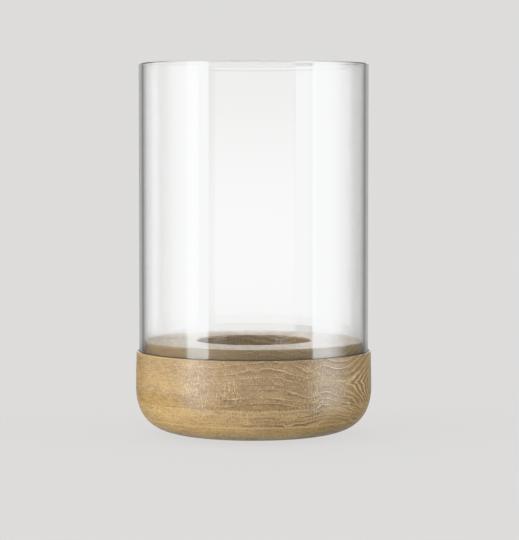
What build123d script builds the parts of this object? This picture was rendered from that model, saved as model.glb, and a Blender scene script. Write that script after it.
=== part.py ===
from build123d import *
import os

# Hurricane candle holder: a clear glass tube that stands in a ring groove of a turned oak base.
# The frame's origin is the middle of the footprint on the table, with +Z up the axis of the turning.

# ---- Driving dimensions, in millimetres ----
belly_radius = 82.5  # widest part of the base
rim_radius = 82.0  # outside of the thin lip round the glass
rim_height = 58.5  # top of the lip above the table
boss_height = 65.7  # top of the raised middle above the table
pad_thickness = 1.0  # felt under the base
flat_radius = 46.0  # flat underside that the pads are glued to
belly_height = 34.3  # where the rounded corner meets the straight side

glass_radius = 80.0
glass_wall = 3.0
glass_length = 210.0
glass_clearance = 0.5  # between the glass and each wall of its groove
groove_floor = 49.0  # height of the ledge that the glass stands on

recess_radius = 40.0  # takes a pillar candle
recess_depth = 15.2
recess_ledge = 1.5  # ring of oak left round the steel disc
plate_thickness = 1.0  # the disc lies flush with the recess floor
plate_clearance = 0.5

board_joint = 26.0  # height of the glue joint between the two oak boards
pad_radius = 8.0
pad_pitch_radius = 34.0
pad_count = 4

# ---- Edge treatments ----
lip_round = 0.5
boss_round = 1.0
recess_round = 1.2
glass_edge_round = 0.8
plate_round = 0.3
pad_round = 0.3

# ---- Worked out from the dimensions above ----
underside = pad_thickness
groove_outer_radius = glass_radius + glass_clearance
boss_radius = glass_radius - glass_wall - glass_clearance
recess_floor = boss_height - recess_depth
plate_seat_radius = recess_radius - recess_ledge
plate_seat = recess_floor - plate_thickness
glass_top = groove_floor + glass_length
corner_width = belly_radius - flat_radius
corner_rise = belly_height - underside
corner_fullness_under = 0.56  # how far each end of the corner curve keeps its direction
corner_fullness_side = 0.79


def turned_outside():
    """Half section of the base blank on the XZ plane: flat underside, full rounded corner, straight side."""
    with BuildSketch(Plane.XZ) as section:
        with BuildLine():
            Line((0, underside), (flat_radius, underside))
            Bezier(
                (flat_radius, underside),
                (flat_radius + corner_fullness_under * corner_width, underside),
                (belly_radius, belly_height - corner_fullness_side * corner_rise),
                (belly_radius, belly_height),
            )
            Polyline(
                (belly_radius, belly_height),
                (rim_radius, rim_height),
                (0, rim_height),
                (0, underside),
            )
        make_face()
    return section.sketch


def write(part, name):
    """Labels a finished piece and writes its STEP file."""
    part.label = name
    export_step(part, f"parts/{name}.step")


os.makedirs("parts", exist_ok=True)

# ---- Oak base, upper board: lip, glass groove, raised boss and candle recess ----
with BuildPart() as base_upper_board:
    revolve(turned_outside(), axis=Axis.Z)
    with BuildSketch(Plane.XY.offset(groove_floor)):
        Circle(groove_outer_radius)
        Circle(boss_radius, mode=Mode.SUBTRACT)
    extrude(amount=rim_height - groove_floor, mode=Mode.SUBTRACT)
    lip_edges = edges().filter_by(GeomType.CIRCLE).group_by(Axis.Z)[-1].sort_by(SortBy.LENGTH)[-2:]
    fillet(lip_edges, radius=lip_round)
    with BuildSketch(Plane.XY.offset(rim_height)):
        Circle(boss_radius)
    extrude(amount=boss_height - rim_height)
    fillet(edges().group_by(Axis.Z)[-1], radius=boss_round)
    with Locations((0, 0, boss_height)):
        Hole(radius=recess_radius, depth=recess_depth)
        Hole(radius=plate_seat_radius, depth=recess_depth + plate_thickness)
    recess_mouth = edges().filter_by(GeomType.CIRCLE).group_by(Axis.Z)[-1].sort_by(SortBy.LENGTH)[0]
    fillet(recess_mouth, radius=recess_round)
    split(bisect_by=Plane.XY.offset(board_joint), keep=Keep.TOP)
write(base_upper_board.part, "base_upper_board")

# ---- Oak base, lower board: flat underside and the rest of the rounded corner ----
with BuildPart() as base_lower_board:
    revolve(turned_outside(), axis=Axis.Z)
    split(bisect_by=Plane.XY.offset(board_joint), keep=Keep.BOTTOM)
write(base_lower_board.part, "base_lower_board")

# ---- Glass tube, open at both ends, with fire-polished rims ----
with BuildPart() as glass_cylinder:
    with BuildSketch(Plane.XY.offset(groove_floor)):
        Circle(glass_radius)
        Circle(glass_radius - glass_wall, mode=Mode.SUBTRACT)
    extrude(amount=glass_length)
    fillet(edges().filter_by(GeomType.CIRCLE), radius=glass_edge_round)
write(glass_cylinder.part, "glass_cylinder")

# ---- Loose steel disc let into the floor of the recess, which keeps flame and wax off the oak ----
with BuildPart() as candle_plate:
    with BuildSketch(Plane.XY.offset(plate_seat)):
        Circle(plate_seat_radius - plate_clearance)
    extrude(amount=plate_thickness)
    fillet(edges().group_by(Axis.Z)[-1], radius=plate_round)
write(candle_plate.part, "candle_plate")

# ---- Felt pads glued to the underside ----
pad_places = PolarLocations(pad_pitch_radius, pad_count, start_angle=360 / pad_count / 2)
for number, place in enumerate(pad_places, start=1):
    with BuildPart() as felt_pad:
        with BuildSketch(Plane(place.position)):
            Circle(pad_radius)
        extrude(amount=pad_thickness)
        fillet(edges().group_by(Axis.Z)[0], radius=pad_round)
    write(felt_pad.part, f"felt_pad_{number}")

print(f"overall height {glass_top} mm, base diameter {2 * belly_radius} mm")
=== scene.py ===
"""Looks for the hurricane candle holder: a clear glass tube standing in a turned oak base."""

import math

import bmesh
import bpy
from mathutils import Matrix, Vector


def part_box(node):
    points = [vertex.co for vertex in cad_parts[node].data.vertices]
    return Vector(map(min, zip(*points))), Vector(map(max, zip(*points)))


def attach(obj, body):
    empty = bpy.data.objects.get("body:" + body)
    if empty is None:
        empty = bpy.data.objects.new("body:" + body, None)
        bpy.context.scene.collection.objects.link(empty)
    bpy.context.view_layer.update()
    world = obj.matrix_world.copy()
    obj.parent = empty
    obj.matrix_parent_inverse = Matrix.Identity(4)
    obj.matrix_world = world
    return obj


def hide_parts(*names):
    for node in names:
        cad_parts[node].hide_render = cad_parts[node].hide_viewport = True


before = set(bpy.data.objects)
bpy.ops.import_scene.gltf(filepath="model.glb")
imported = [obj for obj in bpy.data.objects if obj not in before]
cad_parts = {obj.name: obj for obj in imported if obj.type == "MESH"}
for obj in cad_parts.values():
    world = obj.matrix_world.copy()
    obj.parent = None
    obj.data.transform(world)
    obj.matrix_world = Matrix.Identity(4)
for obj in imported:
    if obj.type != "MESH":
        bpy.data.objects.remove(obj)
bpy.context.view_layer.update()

MM = 0.001
PAD_COUNT = 4

# ---- Camera: a long lens at a height between the base and the top of the glass ----
CAMERA_DISTANCE = 1.6928
CAMERA_HEIGHT = 0.2178
CAMERA_PITCH = 0.0609  # radians below level
CAMERA_LENS = 161.57  # mm on a 36 mm sensor
CAMERA_SHIFT_X = 0.01083  # the holder stands a little left of the middle

# ---- Studio: brightness ----
BACKGROUND = (0.7215, 0.714, 0.7)  # radiance of the floor and of everything behind it
LEFT_STRIP = 3.2
RIGHT_STRIP = 3.6
STRIP_COLOUR = (0.9, 1.0, 1.1, 1)  # the strip lights are cooler than the rest
LEFT_WALL = 1.55
LEFT_WALL_NEAR = 0.9  # added on the part of the left wall that comes forward
RIGHT_WALL = 0.6
FRONT_CARD = 1.85
CARD_GLOW = 1.9  # how much brighter the card is in its middle than at its edges
BACK_WALL_FOOT = 0.25  # share of the back wall's light that is left low down
OVERHEAD = 0.9
AMBIENT = 0.08
AMBIENT_ABOVE = 0.17  # added above the lower edge of the card

# ---- Studio: azimuths in degrees, where a pair is the two sides of one soft edge ----
CARD_SPAN = (-46.0, 42.0)
CARD_SOFTNESS = 6.0
LEFT_WALL_BACK = (-148.0, -112.0)
LEFT_WALL_TURN = (-108.0, -72.0)
LEFT_WALL_END = (-48.0, -44.0)
LEFT_STRIP_START = (-73.0, -68.0)
LEFT_STRIP_END = (-47.0, -45.5)
RIGHT_WALL_START = (40.0, 44.0)
RIGHT_WALL_END = (80.0, 115.0)
WALL_GAP = (56.5, 61.5)  # dark gap between the right wall and its strip light
GAP_SOFTNESS = 1.5
RIGHT_STRIP_START = (61.0, 62.5)
RIGHT_STRIP_END = (74.0, 112.0)
BACK_WALL_START = (152.0, 160.0)

# ---- Studio: sines of elevation, in pairs as above ----
CARD_FOOT = (-0.0875, -0.0855)
CARD_TOP = (0.06, 0.14)
GLOW_START = (-0.115, -0.055)
GLOW_END = (-0.05, 0.02)
WALL_FOOT = (-0.0895, -0.0855)
TALL_FOOT = (-0.6, -0.3)
TALL_TOP = (0.7, 0.8)
BACK_WALL_RISE = (0.05, 0.085)
AMBIENT_RISE = (-0.096, -0.088)
OVERHEAD_RISE = (0.3, 0.7)

# ---- Floor: distances in metres from the axis ----
FLOOR_RADIUS = 40.0
FLOOR_SEGMENTS = 64
FLOOR_COLOUR = 0.05  # what the floor reflects, kept low so that the holder casts only a faint shadow
FLOOR_LIGHT = 1.69  # radiance that this studio gives a white floor
SHADOW_RADIUS = 0.45  # the floor reflects nothing further out than this
FLOOR_BOUNCE = 0.8  # how brightly the floor lights the holder from below
NEAR_BOUNCE = 3.4  # the same for the floor within a hand's breadth of the base
NEAR_RANGE = (0.14, 0.6)  # the near bounce falls to the other one over this range
UNDER_BASE = 0.3  # share of the near bounce that is left under the base
BASE_EDGE = (0.06, 0.11)
LEFT_BOUNCE = (-110.0, -50.0, 0.55, 1.0)  # two azimuths, and the share of the bounce at each
RIGHT_BOUNCE = (-10.0, 60.0, 1.0, 0.4)

# ---- Exposure: levels up to the first are shown as they are ----
WHITE_LEVEL = 2.0
SHOULDER = ((0.4, 0.4), (0.74, 0.74), (0.93, 0.885), (1.2, 0.955), (1.5, 0.99))

# ---- Glass ----
GLASS_SEGMENTS = 360
RIM_STEPS = 12
GLASS_IOR = 1.5
GLASS_TINT = (0.0, 0.06, 0.03, 1)
GLASS_DENSITY = 3.0  # per metre

# ---- Oak: sizes in millimetres, angles in degrees, colours in linear light ----
FIBRE_TURN = 10.0  # between the fibres and the Y axis
END_GRAIN = (0.45, 0.97)  # how far a surface faces along the fibres where its end grain starts and is full
RING_DIP = 0.102  # how steeply the rings fall towards the back
RING_FRONT = 82.0  # at this distance in front of the axis the dip is nought
SMALL_WAVE = 2.6
UNEVEN_RINGS = 5.5
OAK_GLOSS = 0.8
OAK_OIL = 0.2
OIL_ROUGHNESS = 0.28
GLUE_LINE = 25.2  # the glue joint shows as a thin dark line above this height on the lower board
GROOVE_SHADE_START = 76.0  # beyond this radius, inside the lip, shade is painted on the oak in the groove
GROOVE_SHADE_HEIGHTS = (45.0, 58.9)
LIP_INSIDE = 80.6
BOSS_LIGHT_RADII = (76.3, 77.2)  # radii of the side of the raised middle, where light is painted on the oak

# ---- The knot, at angles from the front, growing to the right ----
KNOT_COLOUR = (0.17, 0.085, 0.03, 1)
KNOT_BEND_START = 33.0  # the rings below the knot bend down from here on
KNOT_BEND = 0.006  # per degree squared
KNOT_REACH = 10.0  # how far below the knot they bend
KNOT_START = 42.0  # the rings part from here on
KNOT_EASE = 20.0  # how gently they start to part
KNOT_SPREAD = 0.33  # how fast they part
KNOT_NESTING = 1.3  # how closely the points nest in the knot
KNOT_END = (80.0, 125.0)  # they close again over this range
KNOT_POINTS = (38.0, 44.0)  # the nested points come in over this range

# A board's wave is the height of its slow wave. Each hump is where it lies across the fibres, its width, and
# how far the rings rise there. The split is the height of the knot. The ring lines grow clearer between the
# two lines, which are places across the fibres.
UPPER_BOARD = {
    "seed": 3.1,
    "ring_width": 4.6,
    "side": (0.27, 0.163, 0.04, 1),
    "end": (0.245, 0.15, 0.05, 1),
    "warm": (0.17, 0.092, 0.024, 1),
    "streak": (0.4, 0.255, 0.07, 1),
    "light": (0.62, 0.45, 0.22, 1),
    "dark": (0.12, 0.064, 0.02, 1),
    "pore": (0.09, 0.05, 0.018, 1),
    "banding": 0.62,
    "wave": 8.0,
    "humps": ((-4.0, 44.0, 2.6), (24.0, 22.0, -3.0), (37.0, 16.0, 0.8), (50.0, 18.0, -1.0)),
    "split": 45.0,
    "lines": (30.0, 60.0),
}
LOWER_BOARD = {
    "seed": 8.6,
    "ring_width": 2.9,
    "side": (0.34, 0.215, 0.062, 1),
    "end": (0.36, 0.235, 0.09, 1),
    "warm": (0.25, 0.145, 0.045, 1),
    "streak": (0.5, 0.35, 0.15, 1),
    "light": (0.56, 0.42, 0.24, 1),
    "dark": (0.15, 0.09, 0.038, 1),
    "pore": (0.1, 0.055, 0.022, 1),
    "banding": 0.7,
    "wave": 4.0,
    "humps": ((44.0, 52.0, 4.0), (8.0, 20.0, -1.0)),
    "split": None,
    "lines": (0.0, 24.0),
}


class Tree:
    """Short calls that add nodes to one node tree and return their output sockets."""

    def __init__(self, owner):
        owner.use_nodes = True
        self.tree = owner.node_tree
        self.tree.nodes.clear()

    def node(self, kind, **settings):
        made = self.tree.nodes.new(kind)
        for name, value in settings.items():
            setattr(made, name, value)
        return made

    def put(self, socket, value):
        """Sets an input to a number or a colour, or links an output to it."""
        if isinstance(value, bpy.types.NodeSocket):
            self.tree.links.new(value, socket)
        else:
            socket.default_value = value

    def math(self, operation, *values, clamp=False):
        made = self.node("ShaderNodeMath", operation=operation, use_clamp=clamp)
        for socket, value in zip(made.inputs, values):
            self.put(socket, value)
        return made.outputs[0]

    def vector_math(self, operation, *values):
        made = self.node("ShaderNodeVectorMath", operation=operation)
        for socket, value in zip(made.inputs, values):
            self.put(socket, value)
        return made.outputs["Value" if operation in ("DOT_PRODUCT", "LENGTH") else "Vector"]

    def add(self, *values):
        total = values[0]
        for value in values[1:]:
            total = self.math("ADD", total, value)
        return total

    def times(self, *values):
        product = values[0]
        for value in values[1:]:
            product = self.math("MULTIPLY", product, value)
        return product

    def split(self, vector):
        made = self.node("ShaderNodeSeparateXYZ")
        self.put(made.inputs[0], vector)
        return made.outputs[0], made.outputs[1], made.outputs[2]

    def join(self, x, y, z):
        made = self.node("ShaderNodeCombineXYZ")
        for socket, value in zip(made.inputs, (x, y, z)):
            self.put(socket, value)
        return made.outputs[0]

    def grey(self, value):
        return self.join(value, value, value)

    def millimetres(self, position):
        return self.vector_math("MULTIPLY", position, (1 / MM, 1 / MM, 1 / MM))

    def azimuth(self, right, back):
        """Degrees from the front, growing to the right."""
        return self.math("DEGREES", self.math("ARCTAN2", right, self.times(back, -1.0)))

    def centred(self, noise, height):
        return self.times(self.math("SUBTRACT", noise, 0.5), height)

    def step(self, value, low, high, start=0.0, end=1.0):
        """Smooth step from start to end as value goes from low to high."""
        made = self.node("ShaderNodeMapRange", interpolation_type="SMOOTHSTEP")
        for name, number in (("From Min", low), ("From Max", high), ("To Min", start), ("To Max", end)):
            self.put(made.inputs[name], number)
        self.put(made.inputs["Value"], value)
        return made.outputs["Result"]

    def band(self, value, low, high, soft):
        """1 between low and high, falling to 0 over a width of soft at each side."""
        return self.times(
            self.step(value, low - soft / 2, low + soft / 2),
            self.step(value, high - soft / 2, high + soft / 2, 1.0, 0.0),
        )

    def noise(self, vector, scale=1.0, detail=2.0, roughness=0.5, colour=False, **inputs):
        made = self.node("ShaderNodeTexNoise")
        self.put(made.inputs["Vector"], vector)
        settings = {"Scale": scale, "Detail": detail, "Roughness": roughness, **inputs}
        for name, value in settings.items():
            self.put(made.inputs[name], value)
        return made.outputs["Color" if colour else "Fac"]

    def mix(self, share, first, second, blend="MIX"):
        made = self.node("ShaderNodeMix", data_type="RGBA", blend_type=blend)
        self.put(made.inputs["Factor"], share)
        self.put(made.inputs["A"], first)
        self.put(made.inputs["B"], second)
        for socket in made.outputs:
            if socket.type == "RGBA":
                return socket

    def shader(self, kind, inputs):
        """A shader node with the named inputs set; returns its output."""
        made = self.node(kind)
        for name, value in inputs.items():
            self.put(made.inputs[name], value)
        return made.outputs[0]

    def mix_shaders(self, share, first, second):
        made = self.node("ShaderNodeMixShader")
        for socket, value in zip(made.inputs, (share, first, second)):
            self.put(socket, value)
        return made.outputs[0]

    def bump(self, height, strength, distance):
        return self.shader("ShaderNodeBump", {"Strength": strength, "Distance": distance, "Height": height})

    def show(self, surface, kind="ShaderNodeOutputMaterial", **others):
        """Links the finished surface, and anything else such as a volume, to the output."""
        output = self.node(kind)
        for name, value in {"Surface": surface, **others}.items():
            self.put(output.inputs[name], value)


def make_camera():
    """A camera at the viewing angle of the reference."""
    data = bpy.data.cameras.new("camera")
    data.lens = CAMERA_LENS
    data.shift_x = CAMERA_SHIFT_X
    data.clip_end = 200
    camera = bpy.data.objects.new("camera", data)
    camera.location = (0, -CAMERA_DISTANCE, CAMERA_HEIGHT)
    camera.rotation_euler = (math.pi / 2 - CAMERA_PITCH, 0, 0)
    bpy.context.scene.collection.objects.link(camera)
    bpy.context.scene.camera = camera


def make_studio():
    """A low white card in front, with a tall strip light and a wall of light on each side of it.

    Azimuth is 0 in front of the holder and grows to the right. Elevation is given as its sine.
    """
    world = bpy.data.worlds.new("studio")
    bpy.context.scene.world = world
    t = Tree(world)
    x, y, z = t.split(t.node("ShaderNodeTexCoord").outputs["Generated"])
    azimuth = t.azimuth(x, y)
    tall = t.times(t.step(z, *TALL_FOOT), t.step(z, *TALL_TOP, 1.0, 0.0))
    behind = t.step(t.math("ABSOLUTE", azimuth), *BACK_WALL_START)
    white_light = t.add(
        front_card(t, azimuth, z),
        *side_walls(t, azimuth, t.times(tall, t.step(z, *WALL_FOOT))),
        t.times(behind, t.step(z, *BACK_WALL_RISE, BACK_WALL_FOOT, 1.0)),
        t.step(z, *OVERHEAD_RISE, 0.0, OVERHEAD),
        t.add(AMBIENT, t.step(z, *AMBIENT_RISE, 0.0, AMBIENT_ABOVE)),
    )
    strips = t.mix(1.0, STRIP_COLOUR, t.grey(strip_lights(t, azimuth, tall)), "MULTIPLY")
    lit = t.shader("ShaderNodeBackground", {"Color": t.mix(1.0, strips, t.grey(white_light), "ADD")})
    plain_back = t.shader("ShaderNodeBackground", {"Color": (*BACKGROUND, 1)})
    t.show(t.mix_shaders(seen_directly(t), lit, plain_back), "ShaderNodeOutputWorld")


def front_card(t, azimuth, z):
    low = t.times(t.step(z, *CARD_FOOT), t.step(z, *CARD_TOP, 1.0, 0.0))
    glow = t.times(t.step(z, *GLOW_START), t.step(z, *GLOW_END, 1.0, 0.0), CARD_GLOW)
    return t.times(t.band(azimuth, *CARD_SPAN, CARD_SOFTNESS), low, t.add(glow, FRONT_CARD))


def side_walls(t, azimuth, height):
    """The left wall, and the right wall with the gap beside its strip light."""
    far_left = t.step(azimuth, *LEFT_WALL_BACK, 0.0, LEFT_WALL)
    near_left = t.step(azimuth, *LEFT_WALL_TURN, 0.0, LEFT_WALL_NEAR)
    left_wall = t.times(t.add(far_left, near_left), t.step(azimuth, *LEFT_WALL_END, 1.0, 0.0), height)
    far_right = t.step(azimuth, *RIGHT_WALL_END, RIGHT_WALL, 0.0)
    beside_gap = t.math("SUBTRACT", 1.0, t.band(azimuth, *WALL_GAP, GAP_SOFTNESS))
    right_wall = t.times(t.step(azimuth, *RIGHT_WALL_START), far_right, beside_gap, height)
    return left_wall, right_wall


def strip_lights(t, azimuth, tall):
    left_end = t.step(azimuth, *LEFT_STRIP_END, LEFT_STRIP, 0.0)
    right_end = t.step(azimuth, *RIGHT_STRIP_END, RIGHT_STRIP, 0.0)
    left_strip = t.times(t.step(azimuth, *LEFT_STRIP_START), left_end, tall)
    right_strip = t.times(t.step(azimuth, *RIGHT_STRIP_START), right_end, tall)
    return t.add(left_strip, right_strip)


def seen_directly(t):
    """1 for a ray from the camera, and for one that has since only passed through glass.

    So the background looks the same through the glass as beside it.
    """
    path = t.node("ShaderNodeLightPath").outputs
    bounced = t.add(path["Glossy Depth"], path["Diffuse Depth"])
    straight_through = t.times(path["Is Transmission Ray"], t.math("LESS_THAN", bounced, 0.5))
    return t.math("MAXIMUM", path["Is Camera Ray"], straight_through)


def make_floor():
    """A plain pale floor as bright as the background, so that no horizon shows."""
    mesh = bpy.data.meshes.new("floor")
    shape = bmesh.new()
    bmesh.ops.create_circle(shape, cap_ends=True, segments=FLOOR_SEGMENTS, radius=FLOOR_RADIUS)
    shape.to_mesh(mesh)
    shape.free()
    floor = bpy.data.objects.new("floor", mesh)
    bpy.context.scene.collection.objects.link(floor)
    mesh.materials.append(floor_material())


def floor_material():
    """Mostly light of its own, which also lights the holder from below. Glossy rays pass through it."""
    material = bpy.data.materials.new("floor")
    t = Tree(material)
    geometry = t.node("ShaderNodeNewGeometry").outputs
    path = t.node("ShaderNodeLightPath").outputs
    distance = t.vector_math("LENGTH", geometry["Position"])
    share = t.step(distance, 0.0, SHADOW_RADIUS, FLOOR_COLOUR, 0.0)
    paint = t.shader("ShaderNodeBsdfDiffuse", {"Color": t.grey(share)})
    colour = t.vector_math("SUBTRACT", BACKGROUND, t.grey(t.times(share, FLOOR_LIGHT)))
    x, y = t.split(geometry["Position"])[:2]
    side = t.azimuth(x, y)
    lit_side = t.times(t.step(side, *LEFT_BOUNCE), t.step(side, *RIGHT_BOUNCE))
    beyond_base = t.step(distance, *BASE_EDGE, UNDER_BASE, 1.0)
    near = t.times(beyond_base, t.step(distance, *NEAR_RANGE, NEAR_BOUNCE, FLOOR_BOUNCE))
    bounce = t.times(t.math("GREATER_THAN", path["Diffuse Depth"], 0.5), near, lit_side)
    strength = t.math("MAXIMUM", seen_directly(t), bounce)
    glow = t.shader("ShaderNodeEmission", {"Color": colour, "Strength": strength})
    surface = t.node("ShaderNodeAddShader")
    t.put(surface.inputs[0], paint)
    t.put(surface.inputs[1], glow)
    reflected = t.math("GREATER_THAN", path["Glossy Depth"], 0.5)
    hidden = t.math("MAXIMUM", geometry["Backfacing"], reflected)
    t.show(t.mix_shaders(hidden, surface.outputs[0], t.shader("ShaderNodeBsdfTransparent", {})))
    return material


def set_exposure():
    """Plain exposure with a soft shoulder, so that highlights in the glass roll off below white."""
    view = bpy.context.scene.view_settings
    view.view_transform = "Standard"
    view.use_curve_mapping = True
    view.curve_mapping.white_level = (WHITE_LEVEL, WHITE_LEVEL, WHITE_LEVEL)
    curve = view.curve_mapping.curves[3]
    for level, shown in SHOULDER:
        curve.points.new(level / WHITE_LEVEL, shown)
    view.curve_mapping.update()


def glass_material():
    """Clear glass with a faint green depth."""
    material = bpy.data.materials.new("clear_glass")
    t = Tree(material)
    glass = t.shader(
        "ShaderNodeBsdfPrincipled",
        {"Base Color": (1, 1, 1, 1), "Roughness": 0.0, "IOR": GLASS_IOR, "Transmission Weight": 1.0},
    )
    depth = t.shader("ShaderNodeVolumeAbsorption", {"Color": GLASS_TINT, "Density": GLASS_DENSITY})
    t.show(glass, Volume=depth)
    return material


def turn_profile(name, profile, segments):
    """A mesh turned about Z from a closed list of (radius, height, normal out, normal up)."""
    shape = bmesh.new()
    normals = []
    rings = []
    for k in range(segments):
        turn = 2 * math.pi * k / segments
        x, y = math.cos(turn), math.sin(turn)
        rings.append([shape.verts.new((r * x, r * y, z)) for r, z, out, up in profile])
        normals += [(out * x, out * y, up) for r, z, out, up in profile]
    for k, ring in enumerate(rings):
        after = rings[(k + 1) % segments]
        for i in range(len(profile)):
            j = (i + 1) % len(profile)
            shape.faces.new((ring[i], after[i], after[j], ring[j]))
    bmesh.ops.recalc_face_normals(shape, faces=shape.faces)
    for face in shape.faces:
        face.smooth = True
    mesh = bpy.data.meshes.new(name)
    shape.to_mesh(mesh)
    shape.free()
    mesh.normals_split_custom_set_from_vertices(normals)
    made = bpy.data.objects.new(name, mesh)
    bpy.context.scene.collection.objects.link(made)
    return made


def make_glass():
    """The tube, turned finely enough to refract cleanly, with fire-polished rims that are fully round."""
    low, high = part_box("glass_cylinder")
    outer = high.x
    inner = min(math.hypot(v.co.x, v.co.y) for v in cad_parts["glass_cylinder"].data.vertices)
    half_wall = (outer - inner) / 2
    middle = (outer + inner) / 2
    profile = []
    for centre, start in ((high.z - half_wall, 0.0), (low.z + half_wall, math.pi)):
        for i in range(RIM_STEPS + 1):
            angle = start + math.pi * i / RIM_STEPS
            out, up = math.cos(angle), math.sin(angle)
            profile.append((middle + half_wall * out, centre + half_wall * up, out, up))
    tube = turn_profile("glass_tube", profile, GLASS_SEGMENTS)
    tube.data.materials.append(glass_material())
    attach(tube, "glass")
    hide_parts("glass_cylinder")


def brushed_steel():
    """Steel brushed straight along X, with fine scratches, faint wear and a few dull spots of old wax."""
    material = bpy.data.materials.new("brushed_steel")
    t = Tree(material)
    position = t.millimetres(t.node("ShaderNodeTexCoord").outputs["Object"])
    lines = t.noise(t.vector_math("MULTIPLY", position, (0.06, 5.0, 5.0)), detail=4.0, roughness=0.7)
    wear = t.noise(position, 0.09, 3.0, 0.6)
    spots = t.step(t.noise(position, 0.35, 2.0, 0.5), 0.66, 0.7)
    tone = t.mix(t.step(lines, 0.3, 0.7), (0.2, 0.195, 0.185, 1), (0.46, 0.45, 0.43, 1))
    tone = t.mix(t.times(t.step(wear, 0.4, 0.7), 0.35), tone, (0.24, 0.225, 0.2, 1))
    t.show(t.shader("ShaderNodeBsdfPrincipled", {
        "Base Color": t.mix(t.times(spots, 0.4), tone, (0.5, 0.48, 0.42, 1)),
        "Metallic": 1.0,
        "Roughness": t.add(0.24, t.times(lines, 0.14), t.times(wear, 0.1), t.times(spots, 0.2)),
        "Anisotropic": 0.5,
        "Normal": t.bump(t.add(lines, t.times(spots, 0.8)), strength=0.35, distance=0.02 * MM),
    }))
    return material


def felt():
    """Pressed dark felt: matted fibres, fluff and a soft sheen."""
    material = bpy.data.materials.new("felt")
    t = Tree(material)
    position = t.millimetres(t.node("ShaderNodeTexCoord").outputs["Object"])
    warped = t.vector_math("ADD", position, t.noise(position, 0.8, 2.0, 0.6, colour=True))
    fibres = t.noise(t.vector_math("MULTIPLY", warped, (1.2, 6.0, 6.0)), detail=4.0, roughness=0.7)
    crossed = t.noise(t.vector_math("MULTIPLY", warped, (6.0, 1.2, 6.0)), detail=4.0, roughness=0.7)
    matted = t.math("MAXIMUM", fibres, crossed)
    patches = t.noise(position, 0.3, 3.0, 0.6)
    tone = t.mix(t.step(matted, 0.4, 0.75), (0.03, 0.026, 0.023, 1), (0.13, 0.115, 0.1, 1))
    t.show(t.shader("ShaderNodeBsdfPrincipled", {
        "Base Color": t.mix(t.times(patches, 0.5), tone, (0.05, 0.046, 0.042, 1)),
        "Roughness": t.add(0.82, t.times(matted, 0.15)),
        "Sheen Weight": 0.3,
        "Normal": t.bump(matted, strength=0.8, distance=0.15 * MM),
    }))
    return material


class Grain:
    """Where a point lies in a board, in millimetres: across and along its fibres, and up."""

    def __init__(self, t, seed):
        self.t = t
        self.seed = seed
        coordinates = t.node("ShaderNodeTexCoord").outputs
        self.x, self.y, self.z = t.split(t.millimetres(coordinates["Object"]))
        turn = math.radians(FIBRE_TURN)
        self.across = t.add(t.times(self.x, math.cos(turn)), t.times(self.y, math.sin(turn)))
        self.along = t.add(t.times(self.y, math.cos(turn)), t.times(self.x, -math.sin(turn)))
        fibre = t.vector_math("DOT_PRODUCT", coordinates["Normal"], (-math.sin(turn), math.cos(turn), 0.0))
        self.end = t.step(t.math("ABSOLUTE", fibre), *END_GRAIN)
        self.side = t.math("SUBTRACT", 1.0, self.end)

    def noise(self, size_across, size_along, size_up, detail=2.0, roughness=0.5, shift=0.0):
        """Noise whose grain has these sizes in millimetres."""
        t = self.t
        place = t.join(
            t.add(t.times(self.across, 1 / size_across), self.seed + shift),
            t.times(self.along, 1 / size_along),
            t.times(self.z, 1 / size_up),
        )
        return t.noise(place, detail=detail, roughness=roughness)


def ring_height(t, grain, board):
    """Height in the stack of rings: nearly flat, dipping to the back, gently waved, with a few humps."""
    height = t.add(grain.z, t.times(grain.y, RING_DIP), RING_DIP * RING_FRONT)
    height = t.add(height, t.centred(grain.noise(40.0, 260.0, 26.0, 1.0), board["wave"]))
    height = t.add(height, t.centred(grain.noise(9.0, 70.0, 12.0, shift=7.0), SMALL_WAVE))
    for centre, width, rise in board["humps"]:
        hump = t.band(grain.across, centre - width / 4, centre + width / 4, width / 2)
        height = t.add(height, t.times(hump, -rise))
    return height


def part_at_knot(t, grain, height, middle):
    """A knot parts the rings: they turn up above it and down below it, and nest in points on it.

    Returns the new height, and 1 where the nested points are.
    """
    angle = t.azimuth(grain.across, grain.along)
    early = t.math("MAXIMUM", t.add(angle, -KNOT_BEND_START), 0.0)
    below = t.step(height, middle - KNOT_REACH, middle, 1.0, 0.0)
    fade = t.step(angle, *KNOT_END, 1.0, 0.0)
    height = t.add(height, t.times(early, early, KNOT_BEND, below, fade))
    offset = t.add(height, -middle)
    late = t.add(angle, -KNOT_START)
    eased = t.math("SQRT", t.add(t.times(late, late), KNOT_EASE))
    opening = t.times(t.add(late, eased), KNOT_SPREAD, fade)
    clear = t.add(t.math("ABSOLUTE", offset), t.times(opening, -1.0))
    outside = t.times(t.math("MAXIMUM", clear, 0.0), t.math("SIGN", offset))
    inside = t.math("MINIMUM", clear, 0.0)
    height = t.add(outside, t.times(inside, -KNOT_NESTING), middle)
    return height, t.times(t.step(inside, -1.0, 1.0, 1.0, 0.0), t.step(angle, *KNOT_POINTS))


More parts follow.
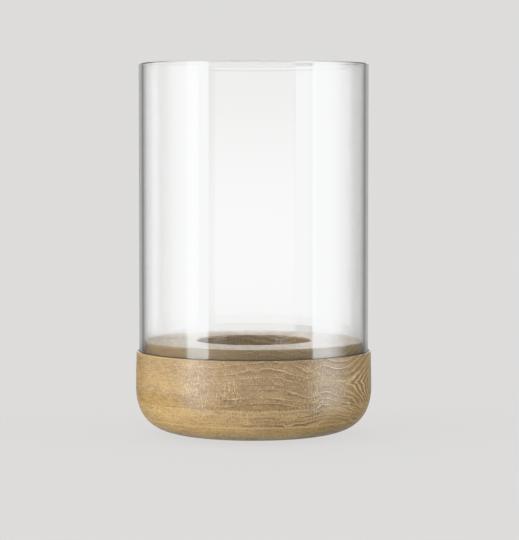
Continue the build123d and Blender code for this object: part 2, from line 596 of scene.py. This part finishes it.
def ring_marks(t, grain, board):
    """The pale line at each ring, the porous early wood beside it, the knot's points and their stripes."""
    height = ring_height(t, grain, board)
    points = 0.0
    if board["split"]:
        height, points = part_at_knot(t, grain, height, board["split"])
    uneven = t.centred(grain.noise(900.0, 900.0, 6.0, 1.0, shift=31.0), UNEVEN_RINGS)
    ring = t.add(t.times(t.add(height, uneven), 1 / board["ring_width"]), board["seed"])
    place = t.math("FRACT", ring)
    chance = t.node("ShaderNodeTexWhiteNoise", noise_dimensions="1D")
    t.put(chance.inputs["W"], t.math("FLOOR", ring))
    patchy = t.step(grain.noise(14.0, 60.0, 5.0, shift=53.0), 0.36, 0.6, 0.2, 1.0)
    by_ring = t.step(chance.outputs["Value"], 0.1, 0.8, 0.25, 1.0)
    towards_right = t.add(t.times(grain.end, 0.4), t.step(grain.across, *board["lines"], 0.4, 1.0))
    by_side = t.times(towards_right, t.step(grain.across, -55.0, 0.0, 0.25, 1.0))
    strength = t.math("MAXIMUM", t.times(by_ring, patchy, by_side), t.times(points, 0.6))
    stripe = t.step(t.math("ABSOLUTE", t.add(place, -0.5)), 0.15, 0.4)
    line = t.times(t.step(place, 0.0, 0.04), t.step(place, 0.08, 0.17, 1.0, 0.0), strength)
    early_wood = t.add(t.step(place, 0.5, 0.95), t.step(place, 0.06, 0.4, 0.5, 0.0))
    return line, t.times(early_wood, strength), points, stripe


def painted_groove_shade_and_boss_light(t, grain):
    """The share of a point that gets painted shade in the groove, and the share that gets painted light on
    the side of the raised middle.
    """
    radius = t.math("SQRT", t.add(t.times(grain.x, grain.x), t.times(grain.y, grain.y)))
    painted_groove_shade = t.times(
        t.step(radius, GROOVE_SHADE_START, GROOVE_SHADE_START + 0.3),
        t.step(radius, LIP_INSIDE, LIP_INSIDE + 0.2, 1.0, 0.0),
        t.band(grain.z, *GROOVE_SHADE_HEIGHTS, 0.6),
    )
    return painted_groove_shade, t.band(radius, *BOSS_LIGHT_RADII, 0.2)


def oak(name, board):
    """Satin oak: its rings, pores and rays come from one solid pattern in object space."""
    material = bpy.data.materials.new(name)
    t = Tree(material)
    grain = Grain(t, board["seed"])
    line, porous, points, stripe = ring_marks(t, grain, board)
    painted_groove_shade, painted_boss_light = painted_groove_shade_and_boss_light(t, grain)

    # Pores lie along the fibres, so they are dots on the end grain and dashes on the sides.
    open_pores = t.step(grain.noise(0.7, 14.0, 0.7, 1.0), 0.53, 0.62)
    pores = t.times(open_pores, t.add(porous, t.step(grain.side, 0.0, 1.0, 0.4, 0.42)))
    ladder = t.times(t.step(grain.noise(0.8, 9.0, 2.2, 1.0, shift=61.0), 0.48, 0.56), porous, grain.end)
    streaks = grain.noise(1.6, 40.0, 0.8, 3.0, 0.7, shift=11.0)
    dash_share = t.add(t.times(grain.side, 0.75), 0.2)
    dashes = t.times(t.step(grain.noise(2.0, 14.0, 0.6, 2.0, 0.6, shift=83.0), 0.53, 0.63), dash_share)
    blotches = grain.noise(20.0, 60.0, 9.0, 3.0, 0.6, shift=5.0)
    mottle = grain.noise(3.4, 18.0, 1.0, 2.0, 0.6, shift=71.0)
    # Rays stand across the rings: fine upright lines on the end grain, faint flecks on the sides.
    crowding = t.step(grain.noise(9.0, 60.0, 12.0, 1.0, shift=41.0), 0.35, 0.65, 0.5, 0.9)
    ray_share = t.times(t.add(t.times(grain.end, 0.9), 0.1), crowding)
    rays = t.times(t.step(grain.noise(0.45, 9.0, 2.2, 2.0, 0.6, shift=17.0), 0.54, 0.63), ray_share)
    dark_rays = t.times(t.step(grain.noise(0.45, 9.0, 1.8, 2.0, 0.6, shift=23.0), 0.52, 0.61), ray_share)

    layers = [
        (t.times(t.step(blotches, 0.38, 0.62), 0.85), board["warm"]),
        (t.times(t.step(streaks, 0.35, 0.65), grain.side, 0.7), board["streak"]),
        (t.times(t.step(mottle, 0.4, 0.65), 0.14), board["light"]),
        (t.times(dashes, 0.42), board["dark"]),
        (t.times(porous, board["banding"]), board["dark"]),
        (t.times(rays, 0.62), board["light"]),
        (t.times(dark_rays, 0.72), board["dark"]),
        (t.times(ladder, 0.75), board["pore"]),
        (t.times(line, 0.85), board["light"]),
        (t.times(points, t.math("SUBTRACT", 1.0, stripe), 0.75), KNOT_COLOUR),
        (t.times(points, stripe, 0.45), board["light"]),
        (t.times(pores, 0.8), board["pore"]),
        # Painted light: the side of the raised middle is lightened towards the streak colour.
        (t.times(painted_boss_light, 0.35), board["streak"]),
        # Painted shade: the oak in the groove is darkened towards the pore colour.
        (t.times(painted_groove_shade, 0.8), board["pore"]),
    ]
    if not board["split"]:
        layers.append((t.step(grain.z, GLUE_LINE, GLUE_LINE + 0.2, 0.0, 0.45), board["dark"]))
    tone = t.mix(grain.end, board["side"], board["end"])
    for share, colour in layers:
        tone = t.mix(share, tone, colour)

    relief = t.add(t.times(pores, -1.0), t.times(dark_rays, -0.5), t.times(line, 0.3), t.times(mottle, 0.3))
    t.show(t.shader("ShaderNodeBsdfPrincipled", {
        "Base Color": tone,
        "Roughness": t.add(0.33, t.times(pores, 0.2), t.centred(blotches, 0.15)),
        "Normal": t.bump(relief, strength=0.5, distance=0.05 * MM),
        "Specular IOR Level": OAK_GLOSS,
        "Coat Weight": OAK_OIL,
        "Coat Roughness": OIL_ROUGHNESS,
    }))
    return material


def paint(node, material):
    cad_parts[node].data.materials[0] = material


def keep_out_of_reflections(node):
    """The glass shows the studio, not the wood."""
    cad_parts[node].visible_glossy = False


make_camera()
make_studio()
make_floor()
make_glass()
paint("base_upper_board", oak("oak_upper", UPPER_BOARD))
paint("base_lower_board", oak("oak_lower", LOWER_BOARD))
for board_node in ("base_upper_board", "base_lower_board"):
    keep_out_of_reflections(board_node)
paint("candle_plate", brushed_steel())
pad_felt = felt()
for number in range(1, PAD_COUNT + 1):
    paint(f"felt_pad_{number}", pad_felt)

set_exposure()
